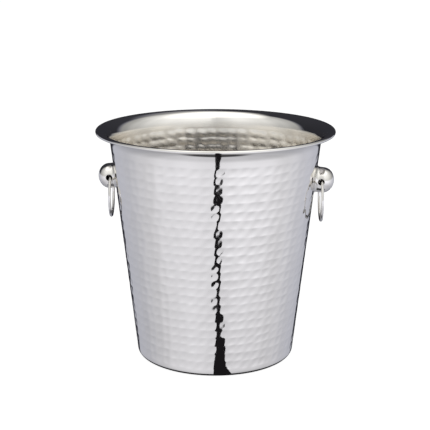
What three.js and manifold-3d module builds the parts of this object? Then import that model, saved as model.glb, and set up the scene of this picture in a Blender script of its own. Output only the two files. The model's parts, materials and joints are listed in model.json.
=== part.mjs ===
// A champagne bucket: a tapered sheet-steel bucket with a flared rim and a rolled edge, and a ring
// handle on each side. A handle is a hollow round knob with a hole through it, a wire ring that
// hangs in the hole, and a stud on the knob's back that goes through the wall. Inside the bucket
// the stud holds a sealing washer, a plate washer and a cap nut.
//
// Millimetres. +Z is up, and the foot rests on Z = 0. The handles are on the X axis, and at rest
// each ring hangs nearly square to it.

import * as THREE from "three";
import { mergeVertices } from "three/addons/utils/BufferGeometryUtils.js";
import Module from "manifold-3d";

const wasm = await Module();
wasm.setup();

// ---- the bucket ----
const rimRadius = 110; // outermost edge of the rolled rim
const bucketHeight = 215; // from the foot to the top of the rim
const footRadius = 73.1; // where the middles of the wall and of the foot would meet in a sharp corner
const sheetThickness = 0.8;
const cornerRadius = 4.5; // of the rounded edge between foot and wall, at the sheet's middle
const flareRadius = 14.3; // of the flare below the rim, at the sheet's middle
const flareEndLean = THREE.MathUtils.degToRad(80); // of the flare's last bit, away from upright
const rollRadius = 1.75; // outside of the rolled edge
const rollTurn = THREE.MathUtils.degToRad(270); // how far round the edge is rolled
const panelRadius = 54; // pressed-up panel in the middle of the base
const panelHeight = 1.6;
const panelStep = 3.5; // width of the ring that slopes from the panel to the foot
const panelEasing = 0.25; // share of that width at each end where the slope is gentler
const panelEasedHeight = 0.15; // share of the panel's height that each gentler end climbs

// ---- a handle ----
const knobDrop = 46.6; // from the top of the rim down to the middle of the cross-hole
const knobRadius = 11.7; // across the knob's own axis
const domeReach = 10.1; // from the knob's widest place to its tip
const domeStart = 1.5; // from the middle of the cross-hole to the knob's widest place
const flangeFlare = 1; // how much wider the knob is at its back edge, against the wall
const flangeLength = 1.7; // how much of the knob's back end widens to the flange
const knobWall = 1; // of the knob's dome and neck
const knobBack = 0.6; // of the knob's back, where it seats on the wall
const studRadius = 2;
const studTipGap = 1; // from the stud's end to the bottom of the cap nut's bore
const ringRadius = 20.4; // to the middle of the wire
const wireRadius = 1.1;
const ringSlack = 1.3; // how far the wire can move any way from the middle of the cross-hole
const ringAside = 0.7; // share of the slack that a hanging ring takes up sideways, by turning
const sealRadius = 6.5;
const sealThickness = 1.4;
const plateRadius = 6;
const plateThickness = 0.8;
const nutWall = 1.16; // of the hexagon, between its bore and the middle of a flat
const nutHeight = 3.2; // of the hexagon, below the cap
const capWall = 1; // of the cap, round its bore and over the end of it

// ---- clearances ----
const seatGap = 0.3; // between a piece and the face that it seats on
const boreGap = 0.3; // round the stud
const ringClearance = 0.3; // round the wire, when it has used all its slack

// ---- how finely round shapes are divided ----
const bucketSides = 48;
const knobSides = 32;
const boreSides = 20;
const ringSides = 40;
const wireSides = 10;
const cornerSteps = 4;
const flareSteps = 6;
const rollSteps = 8;
const domeSteps = 8;
const capSteps = 5;
const nutSides = 6;
const cutReach = 5; // how far a cutting shape reaches past what it cuts

// ---- sizes that follow from these ----
const rollMiddle = rollRadius - sheetThickness / 2;
const rollCentre = new THREE.Vector2(rimRadius - rollRadius, bucketHeight - rollRadius);
const flareCentre = rollCentre
  .clone()
  .add(outward(flareEndLean).multiplyScalar(flareRadius - rollMiddle));
const footCorner = new THREE.Vector2(footRadius, sheetThickness / 2);
const wallLean = leanOfTangent(footCorner, flareCentre, flareRadius);
const flangeRadius = knobRadius + flangeFlare;
const boreRadius = studRadius + boreGap;
const capRadius = boreRadius + capWall;
const nutRadius = (boreRadius + nutWall) / Math.cos(Math.PI / nutSides);

// The wire slopes where it leaves the knob, and the cross-hole has room for its slanted section.
const mouthSlope = Math.asin(knobRadius / ringRadius);
const crossHoleRadius = wireRadius / Math.cos(mouthSlope) + ringClearance + ringSlack;
const ringTwist = Math.asin((ringAside * ringSlack) / knobRadius);
const wireDrop = ringSlack * Math.sqrt(1 - ringAside ** 2);
const ringDrop = wireDrop + ringRadius * Math.cos(mouthSlope);

// Inside the knob the wire bows away from the rest of the ring. The middle of the cross-hole stands
// far enough off the wall for this bow to swing past the knob's back.
const wireBow = ringRadius - ringDrop + wireRadius;
const knobStandoff = seatGap + knobBack + ringClearance + wireBow;
const knobHeight = bucketHeight - knobDrop;
const knobDistance = wallRadius(knobHeight, sheetThickness / 2 + knobStandoff);

// Faces of what is inside the bucket, by their distance inwards from the middle of the cross-hole.
const sealFace = knobStandoff + sheetThickness + seatGap;
const plateFace = sealFace + sealThickness + seatGap;
const nutFace = plateFace + plateThickness + seatGap;

// Unit vector square to a sheet that leans by this angle from upright, on the sheet's outer side.
function outward(lean) {
  return new THREE.Vector2(Math.cos(lean), -Math.sin(lean));
}

// Lean of the straight line from a point that touches the inner side of a circle.
function leanOfTangent(point, centre, radius) {
  const across = centre.clone().sub(point);
  return Math.atan2(across.x, across.y) - Math.asin(radius / across.length());
}

// Distance from the Z axis, at height z, of a cone that runs parallel to the wall's middle.
function wallRadius(z, offset) {
  return footCorner.x + (z - footCorner.y) * Math.tan(wallLean) + offset / Math.cos(wallLean);
}

// Points of a quarter of an ellipse, from its tip on the axis to its widest place.
function quarterDome(radius, reach, base, steps) {
  return Array.from({ length: steps + 1 }, (_, i) => {
    const turn = (Math.PI / 2) * (i / steps);
    return [radius * Math.sin(turn), base + reach * Math.cos(turn)];
  });
}

// Points of an arc that the sheet follows while its lean changes.
function bend(centre, radius, fromLean, toLean, steps) {
  return Array.from({ length: steps + 1 }, (_, i) => {
    const lean = fromLean + ((toLean - fromLean) * i) / steps;
    return outward(lean).multiplyScalar(-radius).add(centre);
  });
}

// The points of an open line, moved sideways by an equal distance all along it.
function offsetLine(points, distance) {
  return points.map((point, i) => {
    const before = points[Math.max(i - 1, 0)];
    const after = points[Math.min(i + 1, points.length - 1)];
    const into = i === 0 ? after.clone().sub(point) : point.clone().sub(before);
    const out = i === points.length - 1 ? into : after.clone().sub(point);
    const sideIn = new THREE.Vector2(into.y, -into.x).normalize();
    const sideOut = new THREE.Vector2(out.y, -out.x).normalize();
    const side = sideIn.clone().add(sideOut).normalize();
    return side.multiplyScalar(distance / side.dot(sideIn)).add(point);
  });
}

// A body of revolution about Z from an outline of [radius, height] points, listed either way round.
function turned(outline, sides) {
  const points = THREE.ShapeUtils.area(outline) < 0 ? [...outline].reverse() : outline;
  return new THREE.LatheGeometry(points, sides).rotateX(Math.PI / 2);
}

function outlineOf(pairs) {
  return pairs.map(([radius, height]) => new THREE.Vector2(radius, height));
}

function solidOf(geometry) {
  const bare = geometry.clone();
  bare.deleteAttribute("normal");
  bare.deleteAttribute("uv");
  const merged = mergeVertices(bare, 1e-4);
  const vertProperties = merged.attributes.position.array;
  const triVerts = new Uint32Array(merged.index.array);
  return new wasm.Manifold(new wasm.Mesh({ numProp: 3, vertProperties, triVerts }));
}

function geometryOf(solid) {
  const mesh = solid.getMesh();
  const geometry = new THREE.BufferGeometry();
  geometry.setAttribute("position", new THREE.BufferAttribute(mesh.vertProperties, 3));
  geometry.setIndex(new THREE.BufferAttribute(mesh.triVerts, 1));
  geometry.computeVertexNormals();
  return geometry;
}

function cutBy(geometry, ...cutters) {
  return geometryOf(cutters.reduce((left, cutter) => left.subtract(solidOf(cutter)), solidOf(geometry)));
}

// A plain round bar on the Z axis, between two heights.
function bar(radius, bottom, top) {
  return turned(outlineOf([[0, bottom], [radius, bottom], [radius, top], [0, top]]), boreSides);
}

// ---- the bucket's sheet ----

// The sheet's middle surface, from the centre of the base to the end of the rolled edge.
function sheetMiddle() {
  const panelLevel = footCorner.y + panelHeight;
  const cornerLean = Math.PI / 2 - wallLean;
  const cornerReach = cornerRadius * Math.tan(cornerLean / 2);
  const cornerCentre = new THREE.Vector2(footCorner.x - cornerReach, footCorner.y + cornerRadius);
  const corner = Array.from({ length: cornerSteps + 1 }, (_, i) => {
    const turn = (cornerLean * i) / cornerSteps;
    const spoke = new THREE.Vector2(Math.sin(turn), -Math.cos(turn));
    return spoke.multiplyScalar(cornerRadius).add(cornerCentre);
  });
  const easedWidth = panelStep * panelEasing;
  const easedHeight = panelHeight * panelEasedHeight;
  return [
    ...outlineOf([
      [0, panelLevel],
      [panelRadius, panelLevel],
      [panelRadius + easedWidth, panelLevel - easedHeight],
      [panelRadius + panelStep - easedWidth, footCorner.y + easedHeight],
      [panelRadius + panelStep, footCorner.y],
    ]),
    ...corner,
    ...bend(flareCentre, flareRadius, wallLean, flareEndLean, flareSteps),
    ...bend(rollCentre, rollMiddle, flareEndLean, flareEndLean + rollTurn, rollSteps).slice(1),
  ];
}

// Where a handle's pieces are: the middle of the cross-hole, with local Z along the knob, away
// from the wall, and local Y along the cross-hole.
function handleFrame() {
  const turn = new THREE.Matrix4().makeRotationY(Math.PI / 2 + wallLean);
  return turn.setPosition(knobDistance, 0, knobHeight);
}

function bucketShell() {
  const middle = sheetMiddle();
  const under = offsetLine(middle, sheetThickness / 2);
  const upper = offsetLine(middle, -sheetThickness / 2);
  const sheet = turned([...under, ...upper.reverse()], bucketSides);
  const bore = bar(boreRadius, -knobStandoff - sheetThickness - cutReach, -knobStandoff + cutReach);
  const rightBore = bore.applyMatrix4(handleFrame());
  const leftBore = rightBore.clone().rotateZ(Math.PI);
  return cutBy(sheet, rightBore, leftBore);
}

// ---- a handle's pieces, each in the handle's frame ----

// The space inside a cone parallel to the wall, as far up and down as a handle reaches.
function insideWall(offset) {
  const low = knobHeight - flangeRadius - cutReach;
  const high = knobHeight + flangeRadius + cutReach;
  const cone = outlineOf([
    [0, low],
    [wallRadius(low, offset), low],
    [wallRadius(high, offset), high],
    [0, high],
  ]);
  return turned(cone, bucketSides).applyMatrix4(handleFrame().invert());
}

// How far a face that follows the wall falls back at this distance from the knob's axis.
function saddleDepth(radius) {
  return radius ** 2 / wallRadius(knobHeight, 0);
}

// The knob's outside is a dome, a straight neck and a flange; its inside is the same less its wall.
function knobOutline(inset, back) {
  const radius = knobRadius - inset;
  return outlineOf([
    ...quarterDome(radius, domeReach - inset, domeStart, domeSteps),
    [radius, flangeLength - knobStandoff],
    [flangeRadius - inset, -knobStandoff],
    [flangeRadius - inset, back],
    [0, back],
  ]);
}

function knob() {
  const outside = turned(knobOutline(0, -knobStandoff - saddleDepth(flangeRadius)), knobSides);
  const hollow = turned(knobOutline(knobWall, -knobStandoff - cutReach), knobSides);
  const face = sheetThickness / 2 + seatGap;
  const body = solidOf(outside).subtract(solidOf(insideWall(face)));
  const cavity = solidOf(hollow).subtract(solidOf(insideWall(face + knobBack)));
  const crossHole = bar(crossHoleRadius, -knobRadius - cutReach, knobRadius + cutReach);
  const stud = bar(studRadius, -nutFace - nutHeight, seatGap + knobBack / 2 - knobStandoff);
  const shell = body.subtract(cavity).subtract(solidOf(crossHole.rotateX(Math.PI / 2)));
  return geometryOf(shell.add(solidOf(stud)));
}

// A flat ring round the stud, between two distances inward from the middle of the cross-hole.
function washerBlank(radius, outerFace, innerFace) {
  const outline = [
    [boreRadius, -innerFace],
    [radius, -innerFace],
    [radius, -outerFace],
    [boreRadius, -outerFace],
    [boreRadius, -innerFace],
  ];
  return turned(outlineOf(outline), boreSides);
}

// The seal is pressed to the wall, so its outer face follows the wall's inside.
function sealingWasher() {
  const blank = washerBlank(sealRadius, knobStandoff, sealFace + sealThickness);
  const inside = insideWall(-sheetThickness / 2 - seatGap);
  return geometryOf(solidOf(blank).intersect(solidOf(inside)));
}

function plateWasher() {
  return washerBlank(plateRadius, plateFace, plateFace + plateThickness);
}

function capNut() {
  const hexTop = nutFace + nutHeight;
  const hexMiddle = nutFace + nutHeight / 2;
  const hexagon = new THREE.CylinderGeometry(nutRadius, nutRadius, nutHeight, nutSides);
  hexagon.rotateX(Math.PI / 2).translate(0, 0, -hexMiddle);
  const dome = quarterDome(capRadius, -studTipGap - capWall, -hexTop, capSteps);
  const cap = turned(outlineOf([...dome, [capRadius, -hexMiddle], [0, -hexMiddle]]), boreSides);
  const bore = bar(boreRadius, -hexTop - studTipGap, -nutFace + cutReach);
  return geometryOf(solidOf(hexagon).add(solidOf(cap)).subtract(solidOf(bore)));
}

function ring() {
  const wire = new THREE.TorusGeometry(ringRadius, wireRadius, wireSides, ringSides);
  return wire.rotateY(Math.PI / 2).rotateZ(ringTwist);
}

// ---- the assembly ----

function piece(name, geometry, finish) {
  const mesh = new THREE.Mesh(geometry, new THREE.MeshStandardMaterial(finish));
  mesh.name = name;
  return mesh;
}

const hammeredSteel = { color: 0xd4d2d0, roughness: 0.16, metalness: 1 };
const polishedSteel = { color: 0xd8d6d3, roughness: 0.08, metalness: 1 };
const nutSteel = { color: 0xb9b8b5, roughness: 0.3, metalness: 1 };
const sealRubber = { color: 0x2a2a2b, roughness: 0.8, metalness: 0 };

function handle(side) {
  const mounted = new THREE.Group().add(
    piece(side + "_knob", knob(), polishedSteel),
    piece(side + "_sealing_washer", sealingWasher(), sealRubber),
    piece(side + "_plate_washer", plateWasher(), nutSteel),
    piece(side + "_cap_nut", capNut(), nutSteel),
  );
  mounted.applyMatrix4(handleFrame());
  const hanging = piece(side + "_ring", ring(), polishedSteel);
  hanging.position.set(knobDistance, 0, knobHeight - ringDrop);
  return new THREE.Group().add(mounted, hanging);
}

const bucket = new THREE.Group();
bucket.add(piece("bucket_shell", bucketShell(), hammeredSteel));
for (const [side, turn] of [["right", 0], ["left", Math.PI]]) {
  const placed = handle(side);
  placed.rotation.z = turn;
  bucket.add(placed);
}

export default bucket;
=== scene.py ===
"""A hammered steel champagne bucket with two ring handles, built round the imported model.

Metres, in the model's own frame: +Z is up, the foot rests on Z = 0, and the handles are on X.
A handle's own frame has its origin in the middle of the knob's cross-hole, with local Z along the
knob, away from the wall, local Y along the hole and local X down the wall.
"""

import json
import math
from collections import namedtuple

import bmesh
import bpy
import numpy as np
from mathutils import Matrix, Vector


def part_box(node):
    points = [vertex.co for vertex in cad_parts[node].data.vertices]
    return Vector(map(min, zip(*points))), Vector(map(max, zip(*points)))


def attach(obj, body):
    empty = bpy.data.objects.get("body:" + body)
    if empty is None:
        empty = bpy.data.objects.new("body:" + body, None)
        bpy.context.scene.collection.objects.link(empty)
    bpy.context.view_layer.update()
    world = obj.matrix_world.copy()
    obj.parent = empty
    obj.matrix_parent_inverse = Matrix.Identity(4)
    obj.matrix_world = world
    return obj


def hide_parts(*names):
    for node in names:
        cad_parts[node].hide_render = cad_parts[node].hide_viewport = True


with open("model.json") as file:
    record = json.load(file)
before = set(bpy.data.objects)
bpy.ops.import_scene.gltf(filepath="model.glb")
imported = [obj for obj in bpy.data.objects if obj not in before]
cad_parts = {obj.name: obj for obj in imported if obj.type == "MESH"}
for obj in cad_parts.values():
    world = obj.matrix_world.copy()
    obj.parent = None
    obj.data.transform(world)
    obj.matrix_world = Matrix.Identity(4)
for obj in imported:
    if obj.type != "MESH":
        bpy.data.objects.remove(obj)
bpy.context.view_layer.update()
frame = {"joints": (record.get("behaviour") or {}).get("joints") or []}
random = np.random.default_rng(7)
mm = 0.001

# ---- the bucket's sheet ----
FOOT_RADIUS = 73.1 * mm  # where the middles of the wall and of the foot would meet
SHEET = 0.8 * mm
CORNER_RADIUS = 4.5 * mm
FLARE_RADIUS = 14.3 * mm
FLARE_END_LEAN = math.radians(80)
ROLL_RADIUS = 1.75 * mm
ROLL_TURN = math.radians(270)
PANEL_RADIUS = 54 * mm
PANEL_HEIGHT = 1.6 * mm
PANEL_STEP = 3.5 * mm
SATIN_RISE = 3 * mm  # of the satin finish inside, above the start of the flare

# ---- the hammering ----
ROW_PITCH = 8.0 * mm
ROW_BLOWS = 56  # round the bucket
FIRST_ROW = 6.5 * mm  # above the rounded edge of the foot, along the wall
LAST_ROW = 9 * mm  # below the start of the flare, along the wall
ROW_SCATTER = 0.7 * mm  # the most that a row is off its even place
ROW_DRIFT = 0.08  # how far a row is turned from the one below, in pitches round the bucket
ROW_DRIFT_SCATTER = 0.14
BLOW_DEPTH = 0.26 * mm
BLOW_DEPTH_SCATTER = 0.035 * mm
BLOW_WIDTH = 0.86  # of a blow, as a share of the pitch round the bucket
BLOW_HEIGHT = 1.06  # and as a share of the pitch of the rows
BLOW_LEAN = 0.3  # sideways shift of a blow for each unit up the wall
BLOW_ASIDE = 0.09  # scatter of the blows sideways, in pitches
BLOW_RISE = 0.35 * mm  # and up the wall
INSIDE_SHARE = 1.25  # of the blows' depth, inside, where each one stands up as a bump
RIDGE_BLEND = 0.03 * mm  # how softly neighbouring blows meet
SEAT_EASING = 3 * mm  # past a knob's edge, where the plain seat passes into the blows

# ---- a handle ----
KNOB_RADIUS = 11.7 * mm
DOME_REACH = 10.1 * mm
DOME_START = 1.5 * mm
FLANGE_FLARE = 1 * mm
FLANGE_LENGTH = 2.4 * mm
FLANGE_LIMIT = 1.5  # where the flange stops widening, behind the knob's back, in its lengths
KNOB_WALL = 1 * mm
KNOB_BACK = 0.6 * mm
LIP_RADIUS = 0.5 * mm  # rounded edge of the cross-hole
STUD_RADIUS = 2 * mm
STUD_ROOT = 1.6  # how much wider the stud is where it meets the knob's back
STUD_ROOT_LENGTH = 0.05 * mm
STUD_TIP = 0.3 * mm  # chamfer
RING_RADIUS = 20.4 * mm  # to the middle of the wire
WIRE_RADIUS = 1.1 * mm
SHOWN_WIRE = 1.25 * mm  # a little thicker than the model's wire, as the photograph shows it
RING_SLACK = 1.3 * mm
RING_ASIDE = 0.7
RING_CLEARANCE = 0.3 * mm
SEAM_TURN = {"right": math.radians(205), "left": math.radians(155)}  # where the wire's ends meet
SEAM_WIDTH = 0.22 * mm
SEAM_DEPTH = 0.11  # of the seam's groove, as a share of the wire's radius
SEAT_GAP = 0.3 * mm  # in the model, which the shown pieces close
BORE_RADIUS = 2.3 * mm
SEAL_RADIUS = 6.5 * mm
SEAL_THICKNESS = 1.4 * mm
SEAL_EDGE = 0.35 * mm
PLATE_RADIUS = 6 * mm
PLATE_THICKNESS = 0.8 * mm
PLATE_EDGE = 0.22 * mm
NUT_RADIUS = 3.46 * mm  # to the middle of a flat
NUT_HEIGHT = 3.2 * mm
NUT_CHAMFER = 0.35 * mm
CHAMFER_SLANT = 1.5  # how far the chamfer goes in for each unit along the nut
CAP_RADIUS = 3.3 * mm
CAP_HEIGHT = 2 * mm
CAP_SINK = 0.15 * mm  # of the cap's foot, below the hexagon's end
NUT_THREAD = 0.25 * mm  # how much narrower the nut's bore is than the plate's
NUT_FLOOR = 0.5 * mm  # from the end of the bore to the end of the hexagon
NUT_SHARP = math.radians(28)  # a bend above this is an edge, and not shaded smooth

# ---- how finely round shapes are divided ----
COLUMNS = 260  # of the sheet's mesh, round the axis; with more, the export would thin the mesh
PANEL_POINTS = 60  # of the sheet's middle, which the mesh is interpolated from
STEP_POINTS = 25
FOOT_POINTS = 20
CORNER_POINTS = 30
WALL_POINTS = 400
FLARE_POINTS = 80
ROLL_POINTS = 120
FRONT_SPOKES = 72  # of the knob's mesh, from the cross-hole to the knob's outline
BACK_SPOKES = 48  # and to its back's edge
SEARCH_STEPS = 50  # halvings, to find each spoke's length
STUD_COLUMNS = 32
WASHER_COLUMNS = 64
NUT_COLUMNS = 96
CAP_STEPS = 10
RING_STEPS = 160
WIRE_COLUMNS = 20
SEAM_STEPS = 11  # close together, beside the seam
SEAM_REACH = 2.5  # how far these lie to each side of it, in widths of the seam
CONTACT_COLUMNS = 64

# ---- the photograph's camera ----
CAMERA_AZIMUTH = math.radians(5)
CAMERA_DISTANCE = 1.051
CAMERA_HEIGHT = 0.4022
CAMERA_PITCH = math.radians(14.40)
CAMERA_ROLL = 0.0018
CAMERA_AIM = 0.00032  # turned a little to the left
CAMERA_LENS = 97.03  # mm
CAMERA_SENSOR = 36  # mm

# ---- the studio ----
BEHIND = (-math.sin(CAMERA_AZIMUTH), math.cos(CAMERA_AZIMUTH), 0)
TO_RIGHT = (math.cos(CAMERA_AZIMUTH), math.sin(CAMERA_AZIMUTH), 0)
FLOOR_LEVEL = -0.2 * mm
STRIP_LEVEL = -0.3 * mm
CONTACT_LEVEL = -0.4 * mm
CONTACT_REACH = 2 * mm  # of the painted contact shadow, past the foot
STRIP_START = 0.04  # from the bucket's axis
STRIP_END = 1.4
STRIP_NEAR = 8 * mm  # half the strip's width at its start
STRIP_FAR = 40 * mm  # and at its end
STRIP_ASIDE = 0.03  # the strip runs a little to the right of the camera
STRIP_SHIFT = 5 * mm  # and starts this much further to the right

# Brightness of what the metal mirrors, below and above the horizon, by degrees from straight behind
# the bucket. Positive is to the right, and 180 is towards the camera.
TABLE_BY_AZIMUTH = [
    (-178, 0.87), (-150, 0.915), (-120, 0.84), (-90, 0.66), (-60, 0.54), (-25, 0.48),
    (25, 0.48), (60, 0.60), (90, 0.735), (125, 0.92), (150, 0.98), (172, 0.93), (178, 0.87),
]
ROOM_BY_AZIMUTH = [
    (-178, 0.66), (-150, 0.92), (-120, 0.78), (-96, 0.58), (-74, 0.42), (-60, 0.03),
    (36, 0.035), (54, 0.36), (75, 0.56), (96, 0.74), (125, 0.90), (150, 0.97),
    (172, 0.92), (178, 0.70),
]
WALL_SHADE = (0.03, 0.03, 0.04)
CEILING_LIGHT = (1.5, 1.5, 1.49)
STRIP_COLOUR = (0.012, 0.011, 0.013)
# Colour of the painted contact shadow under the bucket, which only mirrors see
PAINTED_CONTACT_SHADOW_COLOUR = (0.03, 0.03, 0.035)
FLOOR_GREY = 0.12  # what the lamp lights, on top of the floor's own plain glow
FLOOR_GLOW = 0.94
LAMP_PLACE = Vector((0.2, -0.4, 1.7))
LAMP_TARGET = Vector((0, 0, 0.1))
LAMP_SIZE = 1.6
LAMP_POWER = 14  # W

shell_low, shell_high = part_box("bucket_shell")
rim_radius = shell_high.x
bucket_height = shell_high.z
joint_place = {joint["child"]: Vector(joint["pos_m"]) for joint in frame["joints"]}
knob_place = joint_place["right_ring_handle"]

# The two faces of the sheet: their distance from its middle, their share of the blows' depth, where
# the mesh has rings near each ridge between two rows, and its steps on the panel, on the panel's
# edge and the foot, on the corner, on the flare and on the roll.
Face = namedtuple("Face", "offset share near_ridge steps")
OUTSIDE = Face(
    offset=SHEET / 2,
    share=1,
    near_ridge=np.array([-3.9, -1.9, -0.65, 0, 0.65, 1.9]) * mm,
    steps=np.array([11, 0.9, 1, 1.3, 0.4]) * mm,
)
INSIDE = Face(
    offset=-SHEET / 2,
    share=INSIDE_SHARE,
    near_ridge=np.array([-3.9, -1.6, -0.6, 0.6, 1.6]) * mm,
    steps=np.array([11, 1.2, 1.4, 1.3, 0.6]) * mm,
)
WALL_MARGIN = 0.5 * mm  # at each end of the wall, where no ring is added for a ridge


# ---- meshes ----


def skin(name, rings, loop=False):
    """A smooth mesh through rings of points. A ring of one point closes an end."""
    counts = [len(ring) for ring in rings]
    starts = np.concatenate([[0], np.cumsum(counts)])
    faces = []
    pairs = [(i, i + 1) for i in range(len(rings) - 1)]
    if loop:
        pairs.append((len(rings) - 1, 0))
    for a, b in pairs:
        size = max(counts[a], counts[b])
        here = np.arange(size)
        there = np.roll(here, -1)
        if counts[a] == 1:
            corners = (starts[a] + 0 * here, starts[b] + here, starts[b] + there)
        elif counts[b] == 1:
            corners = (starts[a] + here, starts[b] + 0 * here, starts[a] + there)
        else:
            corners = (starts[a] + here, starts[b] + here, starts[b] + there, starts[a] + there)
        faces.extend(np.stack(corners, 1).tolist())
    mesh = bpy.data.meshes.new(name)
    mesh.from_pydata(np.vstack(rings).tolist(), [], faces)
    return mesh


def finish_mesh(mesh, weld=0.0):
    """Joins doubled points, turns every face outwards and shades it smooth."""
    work = bmesh.new()
    work.from_mesh(mesh)
    if weld:
        bmesh.ops.remove_doubles(work, verts=work.verts, dist=weld)
        bmesh.ops.dissolve_degenerate(work, edges=work.edges, dist=weld)
    bmesh.ops.recalc_face_normals(work, faces=work.faces)
    work.to_mesh(mesh)
    work.free()
    mesh.shade_smooth()


def joined(mesh, other):
    """One mesh that holds both. The other one is used up."""
    work = bmesh.new()
    work.from_mesh(mesh)
    work.from_mesh(other)
    work.to_mesh(mesh)
    work.free()
    bpy.data.meshes.remove(other)
    return mesh


def piece(name, mesh, body, node, material):
    made = bpy.data.objects.new(name, mesh)
    bpy.context.scene.collection.objects.link(made)
    mesh.materials.append(material)
    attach(made, body)
    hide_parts(node)
    return made


def turns(count):
    return np.arange(count) * (2 * math.pi / count)


def circle(radius, height, columns):
    turn = turns(columns)
    return np.stack([radius * np.cos(turn), radius * np.sin(turn), np.full(columns, height)], 1)


def spun(outline, columns):
    """Rings about local Z through an outline of (radius, height) points."""
    rings = []
    for radius, height in outline:
        rings.append(circle(radius, height, columns) if radius > 0 else np.array([[0, 0, height]]))
    return rings


def rounded(corners, radius, steps=4):
    """A closed outline with its corners rounded."""
    points = []
    for i, corner in enumerate(corners):
        here = Vector(corner)
        before = Vector(corners[i - 1])
        after = Vector(corners[(i + 1) % len(corners)])
        start = here + (before - here).normalized() * radius
        end = here + (after - here).normalized() * radius
        for step in range(steps + 1):
            t = step / steps
            points.append(start * (1 - t) ** 2 + here * 2 * t * (1 - t) + end * t**2)
    return [tuple(point) for point in points]


def smooth_max(a, b, blend):
    near = np.maximum(blend - np.abs(a - b), 0) / blend
    return np.maximum(a, b) + near * near * blend / 4


def smooth_step(value, low, high):
    t = np.clip((value - low) / (high - low), 0, 1)
    return t * t * (3 - 2 * t)


# ---- the bucket ----


def outward(lean):
    return np.array([math.cos(lean), -math.sin(lean)])


roll_middle = ROLL_RADIUS - SHEET / 2
roll_centre = np.array([rim_radius - ROLL_RADIUS, bucket_height - ROLL_RADIUS])
flare_centre = roll_centre + outward(FLARE_END_LEAN) * (FLARE_RADIUS - roll_middle)
foot_corner = np.array([FOOT_RADIUS, SHEET / 2])
foot_to_flare = flare_centre - foot_corner
wall_lean = math.atan2(*foot_to_flare) - math.asin(FLARE_RADIUS / np.hypot(*foot_to_flare))

Sheet = namedtuple("Sheet", "points along slope foot_end corner_end wall_end flare_end")
Row = namedtuple("Row", "place radius phase aside rise depth")


def base_middle(foot_end):
    """The middle of the base: the raised panel, its sloping edge and the flat foot."""
    raised = SHEET / 2 + PANEL_HEIGHT
    points = [np.array([r, raised]) for r in np.linspace(0, PANEL_RADIUS, PANEL_POINTS)]
    for t in np.linspace(0, 1, STEP_POINTS)[1:]:
        rise = 0.5 + 0.5 * np.cos(math.pi * t)
        points.append(np.array([PANEL_RADIUS + PANEL_STEP * t, SHEET / 2 + PANEL_HEIGHT * rise]))
    foot_start = PANEL_RADIUS + PANEL_STEP
    for r in np.linspace(foot_start, foot_end, FOOT_POINTS)[1:-1]:
        points.append(np.array([r, SHEET / 2]))
    return points


def bend(centre, radius, leans):
    """Points of an arc of the sheet's middle, where the sheet leans by each angle."""
    return [centre - outward(lean) * radius for lean in leans]


def sheet_middle():
    """The sheet's middle from the axis to the rolled edge, and how far along it each part ends."""
    corner_lean = math.pi / 2 - wall_lean
    corner_reach = CORNER_RADIUS * math.tan(corner_lean / 2)
    corner_centre = foot_corner + [-corner_reach, CORNER_RADIUS]
    base = base_middle(corner_centre[0])
    corner = [
        corner_centre + CORNER_RADIUS * np.array([math.sin(a), -math.cos(a)])
        for a in np.linspace(0, corner_lean, CORNER_POINTS)
    ]
    flare = bend(flare_centre, FLARE_RADIUS, np.linspace(wall_lean, FLARE_END_LEAN, FLARE_POINTS))
    wall = [
        corner[-1] + (flare[0] - corner[-1]) * t for t in np.linspace(0, 1, WALL_POINTS)[1:-1]
    ]
    roll_leans = np.linspace(FLARE_END_LEAN, FLARE_END_LEAN + ROLL_TURN, ROLL_POINTS)
    roll = bend(roll_centre, roll_middle, roll_leans)[1:]
    points = np.array(base + corner + wall + flare + roll)
    along = np.concatenate([[0], np.cumsum(np.hypot(*np.diff(points, axis=0).T))])
    slope = np.gradient(points, along, axis=0)
    slope /= np.hypot(slope[:, 0], slope[:, 1])[:, None]
    ends = np.cumsum([len(base), len(corner), len(wall), len(flare)])
    return Sheet(points, along, slope, *along[ends])


def evenly(marks, steps):
    """Evenly spaced distances from each mark up to the next."""
    found = []
    for start, end, step in zip(marks[:-1], marks[1:], steps):
        count = max(2, round((end - start) / step))
        found.extend(np.linspace(start, end, count, endpoint=False))
    return found


def stations(sheet, rows, face):
    """Distances along the sheet's middle: evenly spaced, but on the wall close to each ridge."""
    places = np.array([row.place for row in rows])
    between = (places[:-1] + places[1:]) / 2
    ridges = [places[0] - ROW_PITCH / 2, *between, places[-1] + ROW_PITCH / 2]
    on_wall = np.add.outer(ridges, face.near_ridge).ravel() + sheet.corner_end
    on_wall = on_wall[on_wall > sheet.corner_end + WALL_MARGIN]
    on_wall = on_wall[on_wall < sheet.wall_end - WALL_MARGIN]
    end = sheet.along[-1]
    below = evenly([0, PANEL_RADIUS, sheet.foot_end, sheet.corner_end], face.steps[:3])
    above = evenly([sheet.wall_end, sheet.flare_end, end], face.steps[3:])
    return np.concatenate([below, [sheet.corner_end], on_wall, above, [end]])


def blows(start, end):
    """The rows of hammer blows, by their place up the wall, with each blow's offsets and depth."""
    rows = []
    count = round((end - start) / ROW_PITCH)
    phase = 0
    for i in range(count + 1):
        place = start + (end - start) * i / count + random.uniform(-1, 1) * ROW_SCATTER
        radius = FOOT_RADIUS + place * math.sin(wall_lean)
        phase += random.normal(ROW_DRIFT, ROW_DRIFT_SCATTER)
        aside = random.normal(0, BLOW_ASIDE, ROW_BLOWS)
        rise = random.normal(0, BLOW_RISE, ROW_BLOWS)
        depth = BLOW_DEPTH + random.normal(0, BLOW_DEPTH_SCATTER, ROW_BLOWS)
        rows.append(Row(place, radius, phase, aside, rise, depth))
    return rows


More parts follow.
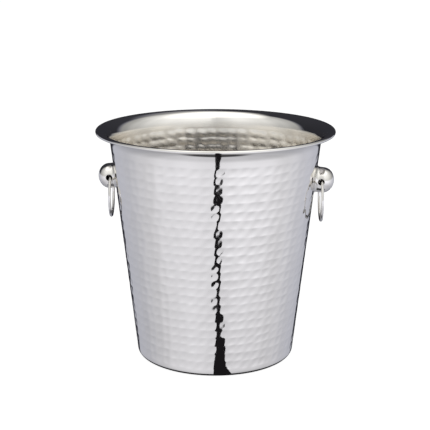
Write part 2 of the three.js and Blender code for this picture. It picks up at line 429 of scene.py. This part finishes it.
def row_dents(row, place, turn):
    """The dents of one row's blows that reach a place. They are negative outside the blow."""
    pitch = 2 * math.pi / ROW_BLOWS
    wide = BLOW_WIDTH * row.radius * pitch / 2
    tall = BLOW_HEIGHT * ROW_PITCH / 2
    index = np.floor(turn / pitch - row.phase).astype(int)
    for step in (-1, 0, 1, 2):
        blow = (index + step) % ROW_BLOWS
        side = turn - (index + step + row.phase + row.aside[blow]) * pitch
        side = (side + math.pi) % (2 * math.pi) - math.pi
        up = place - row.place - row.rise[blow]
        side = side * row.radius - BLOW_LEAN * up
        across_bowl = 1 - (side / wide) ** 2
        up_bowl = 1 - (up / tall) ** 2
        bowl = row.depth[blow] * across_bowl * up_bowl
        yield np.where((across_bowl < 0) & (up_bowl < 0), -bowl, bowl)


def dent(rows, place, turn):
    """How deep the wall is beaten in, at distances up the wall and turns about the axis."""
    deep = np.zeros(np.broadcast(place, turn).shape)
    for row in rows:
        near = np.abs(place - row.place) < 2 * ROW_PITCH
        if not near.any():
            continue
        for bowl in row_dents(row, place, turn):
            deep = np.where(near, smooth_max(deep, bowl, RIDGE_BLEND), deep)
    return deep


def face_rings(sheet, rows, face):
    """Rings of points round one face of the sheet, from the axis outwards."""
    places = stations(sheet, rows, face)
    radius, height, slope_out, slope_up = (
        np.interp(places, sheet.along, values)
        for values in (*sheet.points.T, *sheet.slope.T)
    )
    turn = turns(COLUMNS)
    deep = dent(rows, (places - sheet.corner_end)[:, None], turn[None, :])
    from_knob = np.hypot(radius[:, None] * np.sin(turn), (height - knob_place.z)[:, None])
    seat = KNOB_RADIUS + FLANGE_FLARE
    deep *= smooth_step(from_knob, seat, seat + SEAT_EASING)
    deep[places < sheet.corner_end] = 0
    shift = face.offset - deep * face.share
    ring_radius = radius[:, None] + slope_up[:, None] * shift
    ring_height = height[:, None] - slope_out[:, None] * shift
    rings = [np.array([[0, 0, ring_height[0, 0]]])]
    for r, h in zip(ring_radius[1:], ring_height[1:]):
        rings.append(np.stack([r * np.cos(turn), r * np.sin(turn), h], 1))
    return rings


def bucket_mesh():
    """The whole sheet. The second material is the satin inside, up to just above the wall."""
    sheet = sheet_middle()
    rows = blows(FIRST_ROW, sheet.wall_end - sheet.corner_end - LAST_ROW)
    outside = face_rings(sheet, rows, OUTSIDE)
    inside = face_rings(sheet, rows, INSIDE)
    mesh = skin("bucket", outside + inside[::-1])
    finish_mesh(mesh)
    outside_faces = (len(outside) - 1) * COLUMNS
    satin_top = np.interp(sheet.wall_end, sheet.along, sheet.points[:, 1]) + SATIN_RISE
    for face in mesh.polygons[outside_faces:]:
        face.material_index = 1 if face.center.z < satin_top else 0
    return mesh


# ---- a handle ----


def wall_distance(height):
    """From the axis to the wall's outer face, at a height."""
    level = FOOT_RADIUS + (height - SHEET / 2) * math.tan(wall_lean)
    return level + SHEET / 2 / math.cos(wall_lean)


mouth_slope = math.asin(KNOB_RADIUS / RING_RADIUS)
hole_radius = WIRE_RADIUS / math.cos(mouth_slope) + RING_CLEARANCE + RING_SLACK
ring_twist = math.asin(RING_ASIDE * RING_SLACK / KNOB_RADIUS)
standoff = (knob_place.x - wall_distance(knob_place.z)) * math.cos(wall_lean)
wall_inside = standoff + SHEET
seal_end = wall_inside + SEAT_GAP + SEAL_THICKNESS
plate_end = seal_end + SEAT_GAP + PLATE_THICKNESS
stud_end = plate_end + SEAT_GAP + NUT_HEIGHT


def handle_matrix(side):
    """From a handle's own frame to the bucket's."""
    place = joint_place[side + "_ring_handle"]
    right = Matrix.Translation((abs(place.x), 0, place.z)) @ Matrix.Rotation(
        math.pi / 2 + wall_lean, 4, "Y"
    )
    return right if side == "right" else Matrix.Rotation(math.pi, 4, "Z") @ right


def saddle(y):
    """How far the wall falls back beside the knob's axis, as it curves round the bucket."""
    return y**2 / (2 * wall_distance(knob_place.z))


def knob_radius(along, inset):
    """The knob's radius at a distance along its axis, for its outside or, inset, its inside."""
    radius = KNOB_RADIUS - inset
    dome = np.clip((along - DOME_START) / (DOME_REACH - inset), 0, 1)
    flare = np.clip((FLANGE_LENGTH - standoff - along) / FLANGE_LENGTH, 0, FLANGE_LIMIT)
    return radius * np.sqrt(1 - dome**2) + FLANGE_FLARE * flare**2


def on_knob(reach, spokes, inset, sink=0.0):
    """Points of the knob's surface at distances from the hole's axis, on its +Y side."""
    along, down = reach * np.cos(spokes), reach * np.sin(spokes)
    side = np.sqrt(np.clip(knob_radius(along, inset) ** 2 - down**2, 0, None))
    return np.stack([down, side - sink, along], 1)


def knob_half(spokes, inset, back, count):
    """Rings of one half of the knob, from the hole's edge out to the outline or the back's edge."""
    edge = KNOB_RADIUS + FLANGE_FLARE - inset
    low = np.zeros(len(spokes))
    high = np.full(len(spokes), 3 * KNOB_RADIUS)  # longer than any spoke
    for _ in range(SEARCH_STEPS):
        reach = (low + high) / 2
        along, down = reach * np.cos(spokes), reach * np.sin(spokes)
        back_edge = back - saddle(np.sqrt(np.clip(edge**2 - down**2, 0, None)))
        inside = (np.abs(down) < knob_radius(along, inset)) & (along > back_edge)
        low = np.where(inside, reach, low)
        high = np.where(inside, high, reach)
    start = hole_radius + (LIP_RADIUS if inset == 0 else 0)
    rings = []
    for t in np.linspace(0, 1, count):
        rings.append(on_knob(start + (low - start) * math.sin(t * math.pi / 2), spokes, inset))
    return rings


def lip_rings(spokes, steps=5):
    """The rounded edge of the cross-hole, from the knob's surface into the hole."""
    rings = []
    for a in np.linspace(0, math.pi / 2, steps + 1)[1:]:
        reach = np.full(len(spokes), hole_radius + LIP_RADIUS * (1 - math.sin(a)))
        rings.append(on_knob(reach, spokes, 0, LIP_RADIUS * (1 - math.cos(a))))
    return rings


def back_rings(ring, level, count):
    """Rings from one half's edge to the other's, across the knob's back."""
    on_back = np.abs(ring[:, 1]) > 0.01 * mm
    found = []
    for t in np.linspace(1, -1, count + 2)[1:-1]:
        side = ring[:, 1] * t
        depth = np.where(on_back, level - saddle(side), ring[:, 2])
        found.append(np.stack([ring[:, 0], side, depth], 1))
    return found


def knob_shell():
    """The hollow knob: from its inside through the hole's lip and over the outside, and back."""
    back = -standoff
    edge = math.atan2(KNOB_RADIUS + FLANGE_FLARE, back - saddle(0))
    front_spokes = np.linspace(-edge, edge, FRONT_SPOKES, endpoint=False)
    back_spokes = np.linspace(edge, 2 * math.pi - edge, BACK_SPOKES, endpoint=False)
    spokes = np.concatenate([front_spokes, back_spokes])
    outer = knob_half(spokes, 0, back, count=22)
    inner = knob_half(spokes, KNOB_WALL, back + KNOB_BACK, count=12)
    front = inner[::-1] + lip_rings(spokes)[::-1] + outer
    mirror = [1, -1, 1]
    rings = front + back_rings(front[-1], back, count=9)
    rings += [ring * mirror for ring in front[::-1]]
    rings += [ring * mirror for ring in back_rings(front[0], back + KNOB_BACK, count=7)]
    mesh = skin("knob", rings, loop=True)
    finish_mesh(mesh, weld=0.02 * mm)
    return mesh


def stud_mesh():
    """The stud, from inside the knob's back to the bottom of the cap nut."""
    outline = [
        (0, -standoff + KNOB_BACK / 2),
        (STUD_RADIUS * STUD_ROOT, -standoff + KNOB_BACK / 2),
        (STUD_RADIUS, -standoff + STUD_ROOT_LENGTH),
        (STUD_RADIUS, -stud_end + STUD_TIP),
        (STUD_RADIUS - STUD_TIP, -stud_end),
        (0, -stud_end),
    ]
    mesh = skin("stud", spun(outline, STUD_COLUMNS))
    finish_mesh(mesh)
    return mesh


def knob_mesh(matrix):
    mesh = joined(knob_shell(), stud_mesh())
    mesh.transform(matrix)
    mesh.shade_smooth()
    return mesh


def washer_mesh(name, matrix, radius, outer_face, inner_face, edge, follow_wall=False):
    """A flat ring round the stud, whose outer face may follow the wall."""
    corners = [
        (BORE_RADIUS, -outer_face),
        (radius, -outer_face),
        (radius, -inner_face),
        (BORE_RADIUS, -inner_face),
    ]
    rings = spun(rounded(corners, edge), WASHER_COLUMNS)
    if follow_wall:
        thick = inner_face - outer_face
        for ring in rings:
            share = (ring[:, 2] + inner_face) / thick
            ring[:, 2] -= saddle(ring[:, 1]) * share
    mesh = skin(name, rings, loop=True)
    finish_mesh(mesh)
    mesh.transform(matrix)
    return mesh


def hexagon_outline(turn):
    """The nut's outside: (radius by turn, level) of each ring, from its face to the cap's foot."""
    half_flat = math.pi / 6
    hexagon = NUT_RADIUS / np.cos((turn % (2 * half_flat)) - half_flat)
    corner = NUT_RADIUS / math.cos(half_flat)
    chamfer_start = NUT_HEIGHT - NUT_CHAMFER
    levels = [0, NUT_CHAMFER / 2, NUT_CHAMFER, chamfer_start - NUT_CHAMFER, chamfer_start, NUT_HEIGHT]
    outline = []
    for level in levels:
        cut = max(NUT_CHAMFER - level, level - chamfer_start, 0)
        outline.append((np.minimum(hexagon, corner - cut * CHAMFER_SLANT), level))
    return outline


def cap_nut_mesh(matrix, face):
    """A hexagon with chamfered ends and a domed cap, round a blind bore."""
    turn = turns(NUT_COLUMNS)
    outline = hexagon_outline(turn)
    outline.append((CAP_RADIUS, NUT_HEIGHT - CAP_SINK))
    for a in np.linspace(0, math.pi / 2, CAP_STEPS)[1:-1]:
        outline.append((CAP_RADIUS * math.cos(a), NUT_HEIGHT + CAP_HEIGHT * math.sin(a)))
    bore_end = -face - NUT_HEIGHT + NUT_FLOOR
    bore = BORE_RADIUS - NUT_THREAD
    rings = [
        np.array([[0, 0, bore_end]]),
        circle(bore, bore_end, NUT_COLUMNS),
        circle(bore, -face - NUT_THREAD, NUT_COLUMNS),
        circle(BORE_RADIUS, -face, NUT_COLUMNS),
    ]
    rings += [circle(radius, -face - level, NUT_COLUMNS) for radius, level in outline]
    rings.append(np.array([[0, 0, -face - NUT_HEIGHT - CAP_HEIGHT]]))
    mesh = skin("cap_nut", rings)
    finish_mesh(mesh)
    mesh.set_sharp_from_angle(angle=NUT_SHARP)
    mesh.transform(matrix)
    return mesh


def ring_mesh(side):
    """The hanging ring, with the joint of its wire low on one side."""
    low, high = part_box(side + "_ring")
    centre = (low + high) / 2
    radius = (high.z - low.z) / 2 - WIRE_RADIUS
    seam = SEAM_TURN[side]
    width = SEAM_WIDTH / radius
    around = np.linspace(0, 2 * math.pi, RING_STEPS, endpoint=False)
    close = seam + width * np.linspace(-SEAM_REACH, SEAM_REACH, SEAM_STEPS)
    away = around[np.abs(around - seam) > (SEAM_REACH + 0.5) * width]
    around = np.sort(np.concatenate([away, close]))
    section = turns(WIRE_COLUMNS)
    rings = []
    for turn in around:
        groove = math.exp(-(((turn - seam) / width) ** 2))
        wire = SHOWN_WIRE * (1 - SEAM_DEPTH * groove)
        reach = radius + wire * np.cos(section)
        rings.append(
            np.stack([wire * np.sin(section), reach * math.sin(turn), reach * math.cos(turn)], 1)
        )
    mesh = skin(side + "_ring_wire", rings, loop=True)
    finish_mesh(mesh)
    mesh.transform(Matrix.Translation(centre) @ Matrix.Rotation(ring_twist, 4, "Z"))
    return mesh


# ---- materials ----


class Graph:
    """Short names for the nodes that the materials and the world use."""

    def __init__(self, tree):
        self.tree = tree
        tree.nodes.clear()

    def node(self, kind, **settings):
        made = self.tree.nodes.new(kind)
        for name, value in settings.items():
            setattr(made, name, value)
        return made

    def link(self, source, target):
        if hasattr(source, "links"):
            self.tree.links.new(source, target)
        else:
            target.default_value = source

    def math(self, operation, a, b=0.0):
        made = self.node("ShaderNodeMath", operation=operation)
        self.link(a, made.inputs[0])
        self.link(b, made.inputs[1])
        return made.outputs[0]

    def times(self, a, b):
        return self.math("MULTIPLY", a, b)

    def plus(self, a, b):
        return self.math("ADD", a, b)

    def ramp(self, value, low, high, start=0.0, end=1.0):
        """Smoothly from start at low to end at high."""
        made = self.node("ShaderNodeMapRange", interpolation_type="SMOOTHSTEP")
        given = {"Value": value, "From Min": low, "From Max": high, "To Min": start, "To Max": end}
        for name, source in given.items():
            self.link(source, made.inputs[name])
        return made.outputs[0]

    def mix(self, share, a, b):
        made = self.node("ShaderNodeMix", data_type="RGBA")
        self.link(share, made.inputs["Factor"])
        self.link((*a, 1) if isinstance(a, tuple) else a, made.inputs[6])
        self.link((*b, 1) if isinstance(b, tuple) else b, made.inputs[7])
        return made.outputs[2]

    def noise(self, vector, scale, detail, roughness=0.5):
        made = self.node("ShaderNodeTexNoise")
        self.link(vector, made.inputs["Vector"])
        self.link(scale, made.inputs["Scale"])
        self.link(detail, made.inputs["Detail"])
        self.link(roughness, made.inputs["Roughness"])
        return made.outputs["Fac"]

    def vector_math(self, operation, vector, other):
        made = self.node("ShaderNodeVectorMath", operation=operation)
        self.link(vector, made.inputs[0])
        made.inputs[1].default_value = other
        return made

    def stretched(self, vector, scale):
        return self.vector_math("MULTIPLY", vector, scale).outputs[0]

    def along(self, vector, direction):
        return self.vector_math("DOT_PRODUCT", vector, direction).outputs["Value"]

    def scaled(self, vector, amount):
        made = self.node("ShaderNodeVectorMath", operation="SCALE")
        self.link(vector, made.inputs[0])
        self.link(amount, made.inputs["Scale"])
        return made.outputs[0]

    def bump(self, shader, height, distance):
        made = self.node("ShaderNodeBump")
        made.inputs["Strength"].default_value = 1
        made.inputs["Distance"].default_value = distance
        self.link(height, made.inputs["Height"])
        self.link(made.outputs["Normal"], shader.inputs["Normal"])

    def surface(self, shader, output="ShaderNodeOutputMaterial"):
        self.link(shader.outputs[0], self.node(output).inputs["Surface"])


def new_material(name):
    made = bpy.data.materials.new(name)
    made.use_nodes = True
    return made, Graph(made.node_tree)


def steel(name, colour, worn, smooth, rough, stretch, line_depth, pit_depth):
    """Polished steel: faint polishing lines, small pits and cloudy patches that dull it a little."""
    made, graph = new_material(name)
    shader = graph.node("ShaderNodeBsdfPrincipled")
    shader.inputs["Metallic"].default_value = 1
    place = graph.node("ShaderNodeTexCoord").outputs["Object"]
    clouds = graph.noise(place, scale=38.0, detail=4.0)
    lines = graph.noise(graph.stretched(place, stretch), scale=1.0, detail=4.0, roughness=0.6)
    pits = graph.noise(place, scale=900.0, detail=2.0)
    graph.link(graph.mix(graph.ramp(clouds, 0.35, 0.7), colour, worn), shader.inputs["Base Color"])
    dulling = graph.plus(graph.times(clouds, 0.7), graph.times(lines, 0.3))
    graph.link(graph.ramp(dulling, 0.3, 0.7, smooth, rough), shader.inputs["Roughness"])
    height = graph.plus(graph.times(lines, line_depth), graph.times(pits, pit_depth))
    graph.bump(shader, height, distance=1)
    graph.surface(shader)
    return made


def rubber():
    """Black rubber with a faint grey bloom and a fine matt grain."""
    made, graph = new_material("seal_rubber")
    shader = graph.node("ShaderNodeBsdfPrincipled")
    shader.inputs["Specular IOR Level"].default_value = 0.35
    place = graph.node("ShaderNodeTexCoord").outputs["Object"]
    bloom = graph.noise(place, scale=600.0, detail=4.0)
    grain = graph.noise(place, scale=2500.0, detail=3.0)
    colour = graph.mix(graph.ramp(bloom, 0.35, 0.7), (0.022, 0.022, 0.023), (0.05, 0.05, 0.052))
    graph.link(colour, shader.inputs["Base Color"])
    graph.link(graph.ramp(bloom, 0.3, 0.7, 0.55, 0.8), shader.inputs["Roughness"])
    graph.bump(shader, grain, distance=0.05 * mm)
    graph.surface(shader)
    return made


def finishes():
    """The materials by name. Each steel has its own colour, gloss, and fineness of its lines."""
    bright = (0.80, 0.775, 0.735)
    worn = (0.775, 0.75, 0.71)
    rolled = (60, 60, 900)  # long faint lines round the bucket
    found = {}
    found["hammered_steel"] = steel(
        "hammered_steel", bright, worn,
        smooth=0.02, rough=0.07, stretch=rolled, line_depth=0.002 * mm, pit_depth=0.0015 * mm,
    )
    found["satin_inside"] = steel(
        "satin_inside", (0.82, 0.785, 0.73), worn,
        smooth=0.14, rough=0.20, stretch=rolled, line_depth=0.002 * mm, pit_depth=0.002 * mm,
    )
    found["polished_steel"] = steel(
        "polished_steel", bright, worn,
        smooth=0.11, rough=0.18, stretch=(400, 400, 400), line_depth=0.0, pit_depth=0.001 * mm,
    )
    found["ring_wire"] = steel(
        "ring_wire", (0.76, 0.745, 0.72), worn,
        smooth=0.05, rough=0.14, stretch=(300, 300, 300), line_depth=0.001 * mm, pit_depth=0.0,
    )
    found["fastener_steel"] = steel(
        "fastener_steel", (0.6, 0.59, 0.57), (0.52, 0.51, 0.5),
        smooth=0.16, rough=0.32, stretch=(900, 900, 900), line_depth=0.004 * mm, pit_depth=0.0,
    )
    found["seal_rubber"] = rubber()
    return found


# ---- the studio ----

# Here up is the sine of a direction's angle above the horizon, behind is how much it points away
# from the camera, and turn is its azimuth in radians, from straight behind the bucket.


def by_azimuth(graph, turn, stops):
    """A brightness that changes smoothly between (degrees from straight behind, brightness) stops."""
    value = stops[0][1]
    for (start, before), (end, after) in zip(stops, stops[1:]):
        if before != after:
            change = graph.ramp(turn, math.radians(start), math.radians(end), 0.0, after - before)
            value = graph.plus(change, value)
    return value


def table_light(graph, up, behind, turn):
    """The pale table: a little brighter at the front right, with a painted contact shadow right under
    the bucket.
    """
    table = by_azimuth(graph, turn, TABLE_BY_AZIMUTH)
    front_right = graph.times(graph.ramp(turn, 1.2, 2.2), graph.ramp(up, -0.75, -0.1, -0.16, 0.12))
    table = graph.plus(table, front_right)
    table = graph.times(table, graph.ramp(up, -0.75, -0.2, 0.86, 1.2))
    # Painted contact shadow: directions straight down, under the bucket, turn dark.
    table = graph.times(table, graph.ramp(up, -0.985, -0.93, 0.08, 1.0))
    cool = graph.mix(graph.ramp(behind, -0.2, 0.8), (0.965, 0.98, 1.065), (0.93, 0.96, 1.10))
    return graph.scaled(cool, table)


def room_light(graph, up, turn):
    """The room above the horizon: neutral where it is bright, and a bluish dark wall behind."""
    room = by_azimuth(graph, turn, ROOM_BY_AZIMUTH)
    room = graph.times(room, graph.ramp(up, 0.0, 0.75, 0.92, 1.28))
    glow = graph.times(graph.ramp(turn, -0.1, 0.3), graph.ramp(up, 0.62, 0.92, 0.0, 0.35))
    room = graph.plus(room, glow)
    neutral = graph.mix(graph.ramp(room, 0.04, 0.4), (0.95, 0.97, 1.2), (0.99, 1.0, 1.0))
    return graph.scaled(neutral, room)


def with_shade(graph, light, up, turn):
    """Adds painted shade on the table straight behind the bucket, at the foot of the dark wall."""
    aside = graph.math("ABSOLUTE", turn)
    shade = graph.times(graph.ramp(aside, 0.40, 0.52, 1.0, 0.0), graph.ramp(up, -0.62, -0.5))
    shade = graph.times(shade, graph.ramp(up, -0.02, 0.02, 1.0, 0.0))
    return graph.mix(shade, light, WALL_SHADE)


def with_ceiling(graph, light, up, behind):
    """Adds the bright ceiling, which reaches lower towards the camera than behind the bucket."""
    start = graph.ramp(behind, -0.3, 0.3, 0.72, 0.87)
    full = graph.ramp(behind, -0.3, 0.3, 0.88, 1.01)
    return graph.mix(graph.ramp(up, start, full), light, CEILING_LIGHT)


def studio_world():
    """White to the eye. The metal mirrors a soft room, with a dark wall behind the bucket."""
    world = bpy.data.worlds.new("studio")
    world.use_nodes = True
    bpy.context.scene.world = world
    graph = Graph(world.node_tree)
    facing = graph.node("ShaderNodeTexCoord").outputs["Generated"]
    up = graph.along(facing, (0, 0, 1))
    behind = graph.along(facing, BEHIND)
    right = graph.along(facing, TO_RIGHT)
    turn = graph.math("ARCTAN2", right, behind)
    below = table_light(graph, up, behind, turn)
    above = room_light(graph, up, turn)
    light = graph.mix(graph.ramp(up, -0.06, 0.02), below, above)
    light = with_shade(graph, light, up, turn)
    light = with_ceiling(graph, light, up, behind)
    seen = graph.node("ShaderNodeBackground")
    seen.inputs["Color"].default_value = (1, 1, 1, 1)
    mirrored = graph.node("ShaderNodeBackground")
    graph.link(light, mirrored.inputs["Color"])
    rays = graph.node("ShaderNodeLightPath")
    chosen = graph.node("ShaderNodeMixShader")
    graph.link(rays.outputs["Is Camera Ray"], chosen.inputs["Fac"])
    graph.link(mirrored.outputs[0], chosen.inputs[1])
    graph.link(seen.outputs[0], chosen.inputs[2])
    graph.surface(chosen, "ShaderNodeOutputWorld")


def stage_sheet(name, corners):
    mesh = bpy.data.meshes.new(name)
    mesh.from_pydata(corners, [], [tuple(range(len(corners)))])
    made = bpy.data.objects.new(name, mesh)
    bpy.context.scene.collection.objects.link(made)
    return made


def floor(reach=7):
    """A plain white floor, which the metal doesn't mirror: it mirrors the world's table below."""
    corners = [(-reach, -reach), (reach, -reach), (reach, reach), (-reach, reach)]
    made = stage_sheet("floor", [(x, y, FLOOR_LEVEL) for x, y in corners])
    made.visible_glossy = False
    material, graph = new_material("floor_white")
    shader = graph.node("ShaderNodeBsdfPrincipled")
    shader.inputs["Base Color"].default_value = (FLOOR_GREY, FLOOR_GREY, FLOOR_GREY, 1)
    shader.inputs["Roughness"].default_value = 1
    shader.inputs["Specular IOR Level"].default_value = 0
    shader.inputs["Emission Color"].default_value = (1, 1, 1, 1)
    shader.inputs["Emission Strength"].default_value = FLOOR_GLOW
    graph.surface(shader)
    made.data.materials.append(material)


def only_mirrored(made, colour):
    """Makes a stage piece that only mirrors see, glowing with one plain colour."""
    made.visible_camera = False
    made.visible_diffuse = False
    made.visible_shadow = False
    made.visible_transmission = False
    material, graph = new_material(made.name)
    glow = graph.node("ShaderNodeEmission")
    glow.inputs["Color"].default_value = (*colour, 1)
    graph.surface(glow)
    made.data.materials.append(material)


def dark_strip():
    """A narrow dark strip on the table, from under the bucket out to the front."""
    ahead = Vector(BEHIND) * -1 + Vector(TO_RIGHT) * STRIP_ASIDE
    aside = Vector(TO_RIGHT)
    near = ahead * STRIP_START + aside * STRIP_SHIFT
    far = ahead * STRIP_END
    points = [
        near - aside * STRIP_NEAR,
        near + aside * STRIP_NEAR,
        far + aside * STRIP_FAR,
        far - aside * STRIP_FAR,
    ]
    corners = [(point.x, point.y, STRIP_LEVEL) for point in points]
    only_mirrored(stage_sheet("dark_strip", corners), STRIP_COLOUR)


def contact_shade():
    """Painted contact shadow: a dark patch under and close round the bucket, which only mirrors see.
    """
    corners = circle(FOOT_RADIUS + CONTACT_REACH, CONTACT_LEVEL, CONTACT_COLUMNS).tolist()
    only_mirrored(stage_sheet("contact_shade", corners), PAINTED_CONTACT_SHADOW_COLOUR)


def soft_light():
    lamp = bpy.data.lights.new("overhead_softbox", "AREA")
    lamp.shape = "DISK"
    lamp.size = LAMP_SIZE
    lamp.energy = LAMP_POWER
    made = bpy.data.objects.new("overhead_softbox", lamp)
    made.location = LAMP_PLACE
    made.rotation_euler = (LAMP_TARGET - LAMP_PLACE).to_track_quat("-Z", "Y").to_euler()
    made.visible_glossy = False
    bpy.context.scene.collection.objects.link(made)


def photo_camera():
    lens = bpy.data.cameras.new("camera")
    lens.lens = CAMERA_LENS
    lens.sensor_width = CAMERA_SENSOR
    made = bpy.data.objects.new("camera", lens)
    place = Vector(BEHIND) * -CAMERA_DISTANCE + Vector((0, 0, CAMERA_HEIGHT))
    turned = (
        Matrix.Rotation(CAMERA_AZIMUTH + CAMERA_AIM, 4, "Z")
        @ Matrix.Rotation(math.pi / 2 - CAMERA_PITCH, 4, "X")
        @ Matrix.Rotation(CAMERA_ROLL, 4, "Z")
    )
    made.matrix_world = Matrix.Translation(place) @ turned
    bpy.context.scene.collection.objects.link(made)
    bpy.context.scene.camera = made


# ---- the whole ----


def add_bucket(finish):
    mesh = bucket_mesh()
    piece("bucket", mesh, "bucket", "bucket_shell", finish["hammered_steel"])
    mesh.materials.append(finish["satin_inside"])


def add_handle(side, finish):
    """One handle: the knob and its fixing, which ride with the bucket, and the ring, which swings."""
    matrix = handle_matrix(side)
    seal = washer_mesh("seal", matrix, SEAL_RADIUS, wall_inside, seal_end, SEAL_EDGE, follow_wall=True)
    plate = washer_mesh("plate", matrix, PLATE_RADIUS, seal_end, plate_end, PLATE_EDGE)
    fixed = [
        ("_knob_shell", knob_mesh(matrix), "_knob", "polished_steel"),
        ("_seal", seal, "_sealing_washer", "seal_rubber"),
        ("_plate", plate, "_plate_washer", "fastener_steel"),
        ("_nut", cap_nut_mesh(matrix, plate_end), "_cap_nut", "fastener_steel"),
    ]
    for name, mesh, node, slot in fixed:
        piece(side + name, mesh, "bucket", side + node, finish[slot])
    body = side + "_ring_handle"
    wire = finish["ring_wire"]
    piece(side + "_ring_wire", ring_mesh(side), body, side + "_ring", wire)


finish = finishes()
add_bucket(finish)
for side in ("left", "right"):
    add_handle(side, finish)
studio_world()
floor()
dark_strip()
contact_shade()
soft_light()
photo_camera()
bpy.context.scene.view_settings.view_transform = "Standard"
